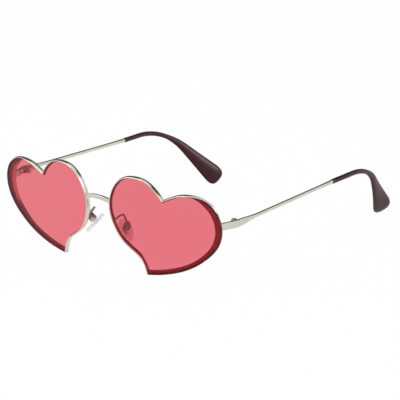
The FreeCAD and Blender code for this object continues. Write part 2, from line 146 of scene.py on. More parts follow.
def turn(points: np.ndarray, axis: int, degrees: float) -> np.ndarray:
    """Points turned about a main axis by the right-hand rule.

    Args:
        points: Points or vectors, last dimension of 3.
        axis: 0, 1 or 2 for X, Y or Z.
        degrees: Angle of the turn.

    Returns:
        The turned points.
    """
    first, second = (axis + 1) % 3, (axis + 2) % 3
    cosine, sine = math.cos(math.radians(degrees)), math.sin(math.radians(degrees))
    out = np.array(points, dtype=float)
    out[..., first] = points[..., first] * cosine - points[..., second] * sine
    out[..., second] = points[..., first] * sine + points[..., second] * cosine
    return out


def spline(points: np.ndarray, shares: np.ndarray) -> tuple:
    """Smooth cubic through points, by chord length.

    Slopes at the inner points solve the three-row system that makes the curvature continuous. Slopes at the
    ends come from the parabola through the three nearest points. Each span is then a Hermite cubic.

    Args:
        points: Points to pass through.
        shares: Places along the whole curve, from 0 to 1.

    Returns:
        Points and unit headings at those places.
    """
    steps = np.linalg.norm(np.diff(points, axis=0), axis=1)
    knots = np.concatenate([[0.0], np.cumsum(steps)])
    rates = np.diff(points, axis=0) / steps[:, None]
    count = len(points)
    system = np.eye(count)
    known = np.zeros_like(points)
    inner = np.arange(1, count - 1)
    system[inner, inner - 1] = steps[1:]
    system[inner, inner] = 2.0 * (steps[:-1] + steps[1:])
    system[inner, inner + 1] = steps[:-1]
    known[1:-1] = 3.0 * (steps[1:, None] * rates[:-1] + steps[:-1, None] * rates[1:])
    known[0] = rates[0] + (rates[0] - rates[1]) * steps[0] / (steps[0] + steps[1])
    known[-1] = rates[-1] + (rates[-1] - rates[-2]) * steps[-1] / (steps[-1] + steps[-2])
    slopes = np.linalg.solve(system, known)
    places = shares * knots[-1]
    span = np.clip(np.searchsorted(knots, places, side="right") - 1, 0, count - 2)
    length = steps[span][:, None]
    t = ((places - knots[span]) / steps[span])[:, None]
    start, end = points[span], points[span + 1]
    lead, trail = slopes[span] * length, slopes[span + 1] * length
    spot = ((2 * t ** 3 - 3 * t ** 2 + 1) * start + (t ** 3 - 2 * t ** 2 + t) * lead
            + (3 * t ** 2 - 2 * t ** 3) * end + (t ** 3 - t ** 2) * trail)
    slope = ((6 * t ** 2 - 6 * t) * (start - end) + (3 * t ** 2 - 4 * t + 1) * lead
             + (3 * t ** 2 - 2 * t) * trail)
    return spot, unit(slope)


def bent_path(corners: np.ndarray, radius: float, steps: int = 14) -> np.ndarray:
    """Straight runs joined by tangent arcs.

    Args:
        corners: Corner points, ends included.
        radius: Radius of every bend.
        steps: Points on each arc.

    Returns:
        Points along the path.
    """
    parts = [corners[:1]]
    for before, corner, after in zip(corners, corners[1:], corners[2:]):
        incoming, outgoing = unit(corner - before), unit(after - corner)
        angle = math.acos(float(incoming @ outgoing))
        inward = unit(outgoing - incoming * float(incoming @ outgoing))
        enter = corner - incoming * radius * math.tan(angle / 2)
        parts.append(enter + arc(incoming, inward, radius, np.linspace(0.0, angle, steps)[:, None]))
    parts.append(corners[-1:])
    return np.concatenate(parts)


def swept(path: np.ndarray, width: np.ndarray, height: np.ndarray, power: np.ndarray, count: int,
          headings: np.ndarray = None, twist: np.ndarray = 0.0) -> np.ndarray:
    """Superellipse sections carried along a path.

    Each section coordinate is the half size times the sine or cosine at the power 2/power. A point is the path's
    point plus its parts along the side, which is the heading crossed with the vertical, and along the upright,
    which is the side crossed with the heading.

    Args:
        path: Points of the path.
        width: Full width, one for all sections or one for each.
        height: Full height, the same way.
        power: 2 for an ellipse, more for a squarer section.
        count: Points round each section.
        headings: Unit headings at the path's points, or the mean of the runs before and after each.
        twist: Turn of each section about its heading, in radians.

    Returns:
        Grid of points, one row for each section.
    """
    width, height, power, twist = (np.broadcast_to(value, len(path))[:, None]
                                   for value in (width, height, power, twist))
    angle = np.linspace(0.0, 2.0 * math.pi, count, endpoint=False)
    cosine, sine = np.cos(angle), np.sin(angle)
    across = np.sign(cosine) * np.abs(cosine) ** (2 / power) * width / 2
    up = np.sign(sine) * np.abs(sine) ** (2 / power) * height / 2
    if headings is None:
        runs = unit(np.diff(path, axis=0))
        headings = unit(np.concatenate([runs[:1], runs[:-1] + runs[1:], runs[-1:]]))
    level = unit(np.cross(headings, UP))
    upright = np.cross(level, headings)
    side = level * np.cos(twist) - upright * np.sin(twist)
    upright = upright * np.cos(twist) + level * np.sin(twist)
    return path[:, None] + side[:, None] * across[..., None] + upright[:, None] * up[..., None]


def add_object(name: str, data: bpy.types.ID) -> bpy.types.Object:
    """New object, linked into the scene.

    Args:
        name: Name of the object.
        data: Mesh, lamp or camera that it shows.

    Returns:
        The object.
    """
    item = bpy.data.objects.new(name, data)
    bpy.context.scene.collection.objects.link(item)
    return item


def standing(axes: tuple, place: np.ndarray) -> Matrix:
    """Matrix of a lamp or a camera from its unit axes to the right, up and back, and its place."""
    rows = np.column_stack([*axes, place]).tolist()
    return Matrix(rows + [[0.0, 0.0, 0.0, 1.0]])


def lay_grid(name: str, grid: np.ndarray, materials: list, loop: bool = False, marks: np.ndarray = None,
             crease_deg: float = 38.0, sheet: bool = False) -> bpy.types.Object:
    """Mesh over a grid of points, smooth but for edges sharper than the crease.

    Each row is a closed section. The ends are flat, unless the last section joins the first. A sheet is open.

    Args:
        name: Name of the piece.
        grid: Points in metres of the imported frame, one row for each section.
        materials: Materials of the piece.
        loop: Whether the last section joins the first.
        marks: Place in the materials for each quad of the grid, all 0 if left out.
        crease_deg: Angle above which an edge stays sharp.
        sheet: Whether the mesh is an open sheet.

    Returns:
        The new object.
    """
    index = np.arange(grid[..., 0].size).reshape(grid.shape[:2])
    ends = [] if loop or sheet else [index[0].tolist(), index[-1].tolist()]
    if loop:
        index = np.concatenate([index, index[:1]])
    if not sheet:
        index = np.concatenate([index, index[:, :1]], 1)
    quads = np.stack([index[:-1, :-1], index[1:, :-1], index[1:, 1:], index[:-1, 1:]], -1).reshape(-1, 4)
    mesh = bpy.data.meshes.new(name)
    mesh.from_pydata(grid.reshape(-1, 3).tolist(), [], quads.tolist() + ends)
    work = bmesh.new()
    work.from_mesh(mesh)
    bmesh.ops.recalc_face_normals(work, faces=work.faces)
    work.to_mesh(mesh)
    work.free()
    mesh.polygons.foreach_set("use_smooth", np.ones(len(mesh.polygons), dtype=bool))
    mesh.set_sharp_from_angle(angle=math.radians(crease_deg))
    for material in materials:
        mesh.materials.append(material)
    if marks is not None:
        picked = np.concatenate([marks.reshape(-1), np.zeros(len(ends))])
        mesh.polygons.foreach_set("material_index", picked.astype(np.int32))
    return add_object(name, mesh)


class Shading:
    """One material's, world's or group's node tree, with a short way to add nodes to it."""

    def __init__(self, tree: bpy.types.NodeTree) -> None:
        """Keeps the tree and clears it."""
        self.tree = tree
        tree.nodes.clear()

    def add(self, kind: str, inputs: dict = None, **settings: object) -> bpy.types.Node:
        """New node of a kind, with its settings and inputs.

        Args:
            kind: Blender's name of the node type.
            inputs: Value, or output to link, for each input by name or number.
            **settings: Node properties to set.

        Returns:
            The node.
        """
        node = self.tree.nodes.new(kind)
        for key, value in settings.items():
            setattr(node, key, value)
        for key, value in (inputs or {}).items():
            if isinstance(value, bpy.types.NodeSocket):
                self.tree.links.new(value, node.inputs[key])
            else:
                node.inputs[key].default_value = value
        return node


def new_material(name: str) -> tuple:
    """New material with an empty tree.

    Args:
        name: Name of the material.

    Returns:
        The material and its shading.
    """
    material = bpy.data.materials.new(name)
    material.use_nodes = True
    return material, Shading(material.node_tree)


def make_noise_group(name: str, detail: float, squeeze: tuple, levels: tuple) -> None:
    """Group of noise on Object coordinates, with a Scale input and a Mask output.

    Args:
        name: Name of the group.
        detail: Detail of the noise.
        squeeze: Factors of the three coordinates.
        levels: Noise values that become 0 and 1 in the mask.
    """
    tree = bpy.data.node_groups.new(name, "ShaderNodeTree")
    for socket, way in (("Scale", "INPUT"), ("Mask", "OUTPUT")):
        tree.interface.new_socket(name=socket, in_out=way, socket_type="NodeSocketFloat")
    shading = Shading(tree)
    scale = shading.add("NodeGroupInput").outputs["Scale"]
    place = shading.add("ShaderNodeTexCoord").outputs["Object"]
    spot = shading.add("ShaderNodeMapping", {"Vector": place, "Scale": squeeze}).outputs["Vector"]
    noise = shading.add("ShaderNodeTexNoise", {"Vector": spot, "Scale": scale, "Detail": detail}).outputs["Fac"]
    mask = shading.add("ShaderNodeMapRange", {"Value": noise, "From Min": levels[0], "From Max": levels[1]})
    shading.add("NodeGroupOutput", {"Mask": mask.outputs["Result"]})


@dataclass(frozen=True)
class Finish:
    """Clouded finish: its colour and its roughness each drift between two values."""

    name: str
    color: tuple
    clouded: tuple
    roughness: tuple
    mottle_scale: float

    def surface(self, shading: Shading, settings: dict) -> bpy.types.Node:
        """Surface node whose colour and roughness follow the soft mottle.

        Args:
            shading: Tree that the nodes are added to.
            settings: Its other inputs, by name.

        Returns:
            The surface node.
        """
        group = bpy.data.node_groups["soft_mottle"]
        mask = shading.add("ShaderNodeGroup", {"Scale": self.mottle_scale}, node_tree=group).outputs["Mask"]
        blend = shading.add("ShaderNodeMix", {"Factor": mask, "A": (*self.color, 1.0), "B": (*self.clouded, 1.0)},
                            data_type="RGBA")
        low, high = self.roughness
        polish = shading.add("ShaderNodeMapRange", {"Value": mask, "To Min": low, "To Max": high})
        return shading.add("ShaderNodeBsdfPrincipled", {"Base Color": blend.outputs["Result"],
                                                        "Roughness": polish.outputs["Result"], **settings})


@dataclass(frozen=True)
class OpaqueFinish(Finish):
    """Metal or moulded finish with a faint drawn relief."""

    relief: float
    metallic: float = 1.0
    specular: float = 0.5
    hairline_scale: float = 900.0
    relief_depth: float = 0.00005

    def make(self) -> bpy.types.Material:
        """Material of this finish.

        Returns:
            The new material.
        """
        material, shading = new_material(self.name)
        group = bpy.data.node_groups["drawn_hairlines"]
        lines = shading.add("ShaderNodeGroup", {"Scale": self.hairline_scale}, node_tree=group)
        bump = shading.add("ShaderNodeBump", {"Strength": self.relief, "Distance": self.relief_depth,
                                              "Height": lines.outputs["Mask"]})
        surface = self.surface(shading, {"Metallic": self.metallic, "Specular IOR Level": self.specular,
                                         "Normal": bump.outputs["Normal"]})
        shading.add("ShaderNodeOutputMaterial", {"Surface": surface.outputs["BSDF"]})
        return material


@dataclass(frozen=True)
class ClearFinish(Finish):
    """See-through finish: tinted transmission whose shadow is tinted too."""

    ior: float
    shadow: tuple
    clearness: float = 1.0

    def make(self) -> bpy.types.Material:
        """Material of this finish.

        Returns:
            The new material.
        """
        material, shading = new_material(self.name)
        surface = self.surface(shading, {"Transmission Weight": self.clearness, "IOR": self.ior})
        clear = shading.add("ShaderNodeBsdfTransparent", {"Color": (*self.shadow, 1.0)})
        path = shading.add("ShaderNodeLightPath")
        choose = shading.add("ShaderNodeMixShader", {"Fac": path.outputs["Is Shadow Ray"],
                                                     1: surface.outputs["BSDF"], 2: clear.outputs["BSDF"]})
        shading.add("ShaderNodeOutputMaterial", {"Surface": choose.outputs["Shader"]})
        return material


# Name, colour, clouded colour, roughness and mottle scale, then the relief, or the index and the shadow's tint.
FINISHES = {
    "plating": OpaqueFinish("champagne_plating", (0.66, 0.64, 0.56), (0.60, 0.58, 0.50), (0.10, 0.20), 140.0, 0.06),
    # Flange: a darker copy of the plating, painted shade for the crescent behind the lens; its roughness is satin.
    "flange": OpaqueFinish("satin_painted_shade_flange", (0.36, 0.32, 0.30), (0.32, 0.28, 0.26), (0.28, 0.40), 140.0, 0.08),
    # Rose wall: painted light, its rose colour stands in for the lens-tinted light that the plated wall behind the
    # lens reflects.
    "wall": OpaqueFinish("painted_rose_light_wall", (0.70, 0.30, 0.29), (0.64, 0.27, 0.26), (0.25, 0.36), 140.0, 0.06),
    "fitting": OpaqueFinish("dull_fitting", (0.36, 0.32, 0.29), (0.30, 0.27, 0.24), (0.24, 0.36), 300.0, 0.10),
    "steel": OpaqueFinish("turned_steel", (0.58, 0.57, 0.55), (0.48, 0.47, 0.45), (0.22, 0.34), 400.0, 0.15),
    "core": OpaqueFinish("bright_insert", (0.86, 0.85, 0.85), (0.80, 0.79, 0.80), (0.30, 0.42), 400.0, 0.10),
    "tip": OpaqueFinish("burgundy_sleeve", (0.026, 0.007, 0.009), (0.031, 0.009, 0.011), (0.30, 0.38), 90.0, 0.10,
                        metallic=0.0, specular=0.12),
    # Lens edge: opaque dark maroon, painted shade of the plated metal seen through the temporal edge and border;
    # its maroon is the lens's tint.
    "edge": OpaqueFinish("painted_shade_lens_edge", (0.15, 0.018, 0.030), (0.13, 0.015, 0.026), (0.35, 0.45), 40.0, 0.05,
                         metallic=0.0, specular=0.08),
    "lens": ClearFinish("rose_lens", (0.80, 0.178, 0.212), (0.785, 0.174, 0.208), (0.0, 0.03), 25.0, 1.22,
                        (0.80, 0.35, 0.38)),
    "pad": ClearFinish("clear_silicone", (0.93, 0.93, 0.97), (0.91, 0.91, 0.96), (0.20, 0.30), 60.0, 1.06,
                       (0.95, 0.94, 0.96), clearness=0.66),
}


@dataclass(frozen=True)
class Bench:
    """Where pieces are laid: the stance of the glasses and the materials by finish."""

    stance: Stance
    materials: dict

    def lay(self, name: str, node: str, body: str, slot: str, finishes: tuple, grid: np.ndarray,
            side: Side = Side.LEFT, **shape: object) -> bpy.types.Object:
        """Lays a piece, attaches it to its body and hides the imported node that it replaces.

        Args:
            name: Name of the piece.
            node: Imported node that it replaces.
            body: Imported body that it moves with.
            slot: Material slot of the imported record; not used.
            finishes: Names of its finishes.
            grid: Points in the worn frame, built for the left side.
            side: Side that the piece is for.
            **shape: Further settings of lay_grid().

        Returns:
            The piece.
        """
        piece = lay_grid(name, self.stance.points(grid, side), [self.materials[key] for key in finishes], **shape)
        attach(piece, body)
        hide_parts(node)
        LOG.info("laid %s on %s", name, body)
        return piece


@dataclass(frozen=True)
class HeartFront:
    """Rims and lenses: a heart outline of two branches from the notch to the tip, moved out and in."""

    lens_width: float = 59.3
    lens_height: float = 47.0
    lens_gap: float = 15.0
    lens_thickness: float = 1.5
    curve_radius: float = 480.0
    lens_crown: float = 0.6
    curve_centre_share: float = 0.448
    lens_chamfer: float = 0.12
    lens_slack: float = 0.02
    tilt_deg: float = 5.0
    wrap_deg: float = 6.8
    hinge_height_share: float = 0.638
    bead_width: float = 0.45
    bead_rise: float = 0.2
    bead_crown: float = 0.26
    bond_gap: float = 0.04
    ledge_width: float = 0.55
    ledge_thickness: float = 0.65
    flange_inset: float = 0.8
    crescent_width: float = 3.6
    crescent_thickness: float = 2.2
    crescent_inset: float = 1.4
    step_run: float = 0.4
    step_gap: float = 0.05
    edge_softening: float = 0.1
    wall_bulge: float = 0.2
    painted_shade_border_width: float = 0.95
    ring_centre: tuple = (36.0, -6.0)
    ring_shares: tuple = (0.02, 0.16, 0.32, 0.48, 0.64, 0.78, 0.90, 1.0)
    steps: int = 170
    bead_steps: int = 7
    wall_steps: int = 5
    tucked: int = 24
    tuck_step: float = 0.004
    edge_strips: int = 3
    rim_crease_deg: float = 50.0
    nasal_shares: tuple = (
        (0.497, 0.801), (0.4305, 0.907), (0.355, 0.976), (0.261, 1.000), (0.1425, 0.972),
        (0.053, 0.8635), (0.000, 0.660), (0.0225, 0.490), (0.0855, 0.348), (0.1855, 0.246),
        (0.258, 0.175), (0.296, 0.089), (0.316, 0.004),
    )
    temporal_shares: tuple = (
        (0.497, 0.801), (0.571, 0.846), (0.658, 0.886), (0.7585, 0.896), (0.868, 0.865),
        (0.954, 0.775), (1.000, 0.596), (0.963, 0.423), (0.856, 0.271), (0.6985, 0.140),
        (0.513, 0.052), (0.316, 0.004),
    )
    bead_fade_shares: tuple = (0.28, 0.44)
    bead_sink_shares: tuple = (0.14, 0.26)
    bead_sink: float = 0.75
    bead_stand_share: float = 0.5
    edge_start: float = 0.16
    painted_shade_border_start: float = 0.34
    flange_start: float = 0.3
    crescent_taper_shares: tuple = ((0.00, 1.00), (0.44, 1.00), (0.72, 0.20), (1.00, 0.05))
    flange_inset_shares: tuple = ((0.00, 1.00), (0.55, 1.00), (0.68, 0.40), (0.80, 0.10), (1.00, 0.00))
    crescent_shares: tuple = (
        (0.00, 0.00), (0.18, 0.00), (0.22, 0.35), (0.26, 0.68), (0.34, 0.95), (0.42, 1.00),
        (0.50, 0.88), (0.60, 0.68), (0.70, 0.55), (0.85, 0.50), (1.00, 0.45),
    )

    @property
    def rim_depth(self) -> float:
        """Depth of the rim behind the lens plane."""
        return self.lens_thickness + self.ledge_thickness

    @property
    def outer_x(self) -> float:
        """Outermost reach of the lens, across the lens plane."""
        return self.lens_gap / 2 + self.lens_width

    @property
    def places(self) -> np.ndarray:
        """Shares along each branch at which the outline is taken."""
        return np.linspace(0.0, 1.0, self.steps + 1)

    def along(self, table: tuple) -> np.ndarray:
        """Values along a branch from a table of places and shares."""
        return np.interp(self.places, *np.array(table).T)

    def onset(self, shares: tuple) -> np.ndarray:
        """Smooth step along a branch from one place to another."""
        return eased(ramp(self.places, *shares))

    def branch(self, shares: tuple, places: np.ndarray) -> tuple:
        """Points and headings of a branch in the lens plane, across and up.

        Args:
            shares: Outline points as shares of the lens width and height.
            places: Shares along the branch.

        Returns:
            Points and unit headings at the places.
        """
        table = np.array(shares)
        across = self.lens_gap / 2 + table[:, 0] * self.lens_width
        up = (table[:, 1] - self.hinge_height_share) * self.lens_height
        return spline(np.stack([across, up], -1), places)

    def tuck(self, points: np.ndarray, corner: np.ndarray, heading: np.ndarray) -> np.ndarray:
        """Points near a corner that fall behind it are laid just past it, in order.

        Args:
            points: Moved points of a branch, the corner's own first.
            corner: Where the two moved branches cross.
            heading: Heading of the branch away from the corner.

        Returns:
            The points, with the corner first.
        """
        out = points.copy()
        order = np.arange(self.tucked)[:, None] * self.tuck_step
        ahead = ((points[:self.tucked] - corner) @ heading)[:, None]
        out[:self.tucked] = np.where(ahead < order, corner + heading * order, points[:self.tucked])
        out[0] = corner
        return out

    def loop(self, nasal_reach: np.ndarray, temporal_reach: np.ndarray) -> np.ndarray:
        """Closed outline whose branches are moved along their outward normals, with mitred corners.

        A corner is the point whose distances along both branches' normals are the two reaches.

        Args:
            nasal_reach: Reach at each place of the nasal branch.
            temporal_reach: Reach at each place of the temporal branch.

        Returns:
            Points from the notch down the nasal branch to the tip and back up the temporal branch.
        """
        branches = []
        for shares, outward, reach in ((self.nasal_shares, 1.0, nasal_reach),
                                       (self.temporal_shares, -1.0, temporal_reach)):
            points, headings = self.branch(shares, self.places)
            normals = np.stack([headings[:, 1], -headings[:, 0]], -1) * outward
            branches.append((points, headings, normals, reach))
        corners = []
        for end in (0, -1):
            normals, reaches = (np.stack([branch[item][end] for branch in branches]) for item in (2, 3))
            corners.append(branches[0][0][end] + np.linalg.solve(normals, reaches))
        moved = []
        for points, headings, normals, reach in branches:
            from_notch = self.tuck(points + normals * reach[:, None], corners[0], headings[0])
            moved.append(self.tuck(from_notch[::-1], corners[1], -headings[-1])[::-1])
        return self.around(*moved)

    def around(self, nasal: np.ndarray, temporal: np.ndarray) -> np.ndarray:
        """Values of the two branches in the order of loop()."""
        return np.concatenate([nasal, temporal[-2:0:-1]])

    def placed(self, outline: np.ndarray, depth: np.ndarray) -> np.ndarray:
        """Points at depths behind the curved front of the lens, in the worn frame.

        The curve is a drum: the distance from its axis is the curve radius less the depth. The lens frame is
        then turned about Z by the wrap and about X by the tilt.

        Args:
            outline: Points across and up in the lens plane.
            depth: Depth of each point behind the lens front.

        Returns:
            Points in the worn frame.
        """
        middle = self.lens_gap / 2 + self.curve_centre_share * self.lens_width
        reach = np.sqrt((self.curve_radius - depth) ** 2 - (outline[:, 0] - middle) ** 2)
        points = np.stack([outline[:, 0], self.curve_radius - self.lens_crown - reach, outline[:, 1]], -1)
        return turn(turn(points, 2, self.wrap_deg), 0, self.tilt_deg)

    def rim_section(self, edge: np.ndarray, hole: np.ndarray, level: np.ndarray, taper: np.ndarray) -> list:
        """Section of the rim, at all places of one branch.

        It goes up the pocket wall, over a half-round bead, down a slightly bulging outer wall, across the back,
        over the step of the thick crescent and up the opening to the ledge. Where the edge falls below the
        bond gap, the bead sinks. Where the opening is narrow, the step eases out.

        Args:
            edge: Reach of the outer wall past the lens edge.
            hole: Reach of the opening, which is below 0.
            level: Share of the bead's front that is left.
            taper: Share of the step that is left.

        Returns:
            Reach and depth of each point of the section.
        """
        flat = np.ones_like(edge)
        soft, ledge = self.edge_softening, self.lens_thickness + self.lens_slack
        inner = np.minimum(self.bond_gap, edge)
        half = (edge - inner) / 2
        stand = eased((edge - self.bond_gap) / (self.bead_width * self.bead_stand_share)) * level
        shoulder = between(ledge, self.bead_crown - self.bead_rise, stand)
        points = [(inner, ledge * flat)]
        for angle in np.linspace(0.0, math.pi, self.bead_steps):
            points.append((inner + half * (1 - math.cos(angle)),
                           shoulder - self.bead_crown * stand * math.sin(angle)))
        for down in np.arange(1, self.wall_steps + 1) / self.wall_steps:
            bulge = self.wall_bulge * 4 * down * (1 - down)
            points.append((edge + bulge, between(shoulder, self.rim_depth - soft, down)))
        wide = eased((-self.crescent_inset - hole) / self.step_run)
        back = self.rim_depth + (self.crescent_thickness - self.ledge_thickness) * wide * taper
        step = np.maximum(-self.crescent_inset, hole + soft + self.step_gap)
        return points + [(edge - soft, self.rim_depth * flat), (step + self.step_gap, self.rim_depth * flat),
                         (step, back), (hole + soft, back), (hole, back - soft), (hole, ledge * flat)]

    def rim_grid(self) -> np.ndarray:
        """Rim as its section carried round the heart.

        On the temporal branch the bead's front sinks first, then the outer wall draws in behind the lens, the
        opening widens to the crescent and its step thins towards the tip.

        Returns:
            Grid of points in the worn frame.
        """
        flat = np.ones_like(self.places)
        full = self.bond_gap + self.bead_width
        drawn_in = full + self.flange_inset * self.along(self.flange_inset_shares)
        crescent = (self.crescent_width - self.ledge_width) * self.along(self.crescent_shares)
        nasal = self.rim_section(full * flat, -self.ledge_width * flat, flat, flat)
        temporal = self.rim_section(full - drawn_in * self.onset(self.bead_fade_shares),
                                    -self.ledge_width - crescent,
                                    1 - self.bead_sink * self.onset(self.bead_sink_shares),
                                    self.along(self.crescent_taper_shares))
        return np.stack([self.placed(self.loop(near[0], far[0]), self.around(near[1], far[1]))
                         for near, far in zip(nasal, temporal)], 1)

    def lens_grid(self) -> np.ndarray:
        """Lens as rings: out over the front, over the chamfers and the wall, and in again over the back.

        Each ring of a face is the face's outline drawn towards one inner point by a share. One more ring on the
        back bounds the opaque dark border outside the flange, painted shade of the metal seen through the lens.

        Returns:
            Grid of points in the worn frame.
        """
        flat = np.ones_like(self.places)
        chamfer = self.lens_chamfer
        back = self.lens_thickness - self.lens_slack
        centre = np.array(self.ring_centre)
        wall, face, border = (self.loop(-inset * flat, -inset * flat)
                              for inset in (0.0, chamfer, self.painted_shade_border_width))
        rings = [(between(centre, face, share), 0.0) for share in self.ring_shares]
        rings += [(wall, chamfer), (wall, back - chamfer), (face, back), (border, back)]
        rings += [(between(centre, face, share), back) for share in self.ring_shares[-2::-1]]
        return np.stack([self.placed(outline, np.full(len(outline), depth)) for outline, depth in rings])

    def nasal_point(self, share: float, depth: float) -> np.ndarray:
        """Point behind the nasal edge of the lens at a share along it, in the worn frame."""
        spot = self.branch(self.nasal_shares, np.array([share]))[0]
        return self.placed(spot, np.array([depth]))[0]

    def back_point(self, across: float) -> np.ndarray:
        """Point on the back of the lens at the height of the hinges, in the worn frame."""
        return self.placed(np.array([[across, 0.0]]), np.array([self.lens_thickness]))[0]

    def build(self, bench: Bench) -> None:
        """Lays both rims and both lenses on the front.

        Args:
            bench: Where the pieces are laid.
        """
        rim_grid, lens_grid = self.rim_grid(), self.lens_grid()
        none = np.zeros_like(self.places)
        finishes = ("plating", "flange", "wall")
        rim_marks = np.zeros(rim_grid.shape[:2])
        # The ledge under the lens takes the flange finish, a darker copy of the plating as painted shade.
        rim_marks[:, -1] = finishes.index("flange")
        thick = self.around(none, self.along(self.crescent_shares) > self.flange_start)
        # The thick crescent's inner wall takes the rose finish, whose colour is painted lens-tinted light.
        rim_marks[:, -2] = finishes.index("wall") * thick
        lens_marks = np.zeros((len(lens_grid) - 1, lens_grid.shape[1]))
        edge = len(self.ring_shares) - 1
        border = edge + self.edge_strips
        # On the temporal branch the lens walls and a border on the back are opaque dark maroon: painted shade.
        lens_marks[edge:border] = self.around(none, self.places > self.edge_start)
        lens_marks[border] = self.around(none, self.places > self.painted_shade_border_start)
        for side in Side:
            word = side.word
            bench.lay(word + "_heart_rim", word + "_rim", "front", "frame_metal", finishes, rim_grid, side,
                      loop=True, marks=rim_marks, crease_deg=self.rim_crease_deg)
            bench.lay(word + "_heart_lens", word + "_lens", "front", "lens_tint", ("lens", "edge"), lens_grid, side,
                      marks=lens_marks)


@dataclass(frozen=True)
class Bridge:
    """Arched flat wire between the rims."""

    front: HeartFront
    place_share: float = 0.504
    arch: float = 1.6
    bow: float = 1.3
    height: float = 1.9
    depth: float = 1.6
    sunk: float = 0.35
    power: float = 6.0
    steps: int = 40
    around: int = 36

    def build(self, bench: Bench) -> None:
        """Lays the bridge: a circle through both ends and the crown, with one section carried along it.

        Args:
            bench: Where the pieces are laid.
        """
        end = self.front.nasal_point(self.place_share, self.front.rim_depth / 2)
        rise = np.array([0.0, -self.bow, self.arch])
        height = float(np.linalg.norm(rise))
        radius = (end[0] ** 2 + height ** 2) / (2 * height)
        reach = end[0] - self.front.bond_gap - self.front.bead_width + self.sunk
        angle = np.linspace(-1.0, 1.0, self.steps)[:, None] * math.asin(reach / radius)
        crown = np.array([0.0, end[1], end[2]]) + rise
        path = crown + arc(np.array([1.0, 0.0, 0.0]), -rise / height, radius, angle)
        bench.lay("arched_bridge", "bridge", "front", "frame_metal", ("plating",),
                  swept(path, self.depth, self.height, self.power, self.around))


@dataclass(frozen=True)
class ArmSetting:
    """How one side's arm is set: drop of the hinge, then lead, bend, start, heading and turn of the tip."""

    hinge_drop: float
    lead: float
    bend_radius: float
    rise: float
    drop_deg: float
    inward_deg: float
    twist_deg: float


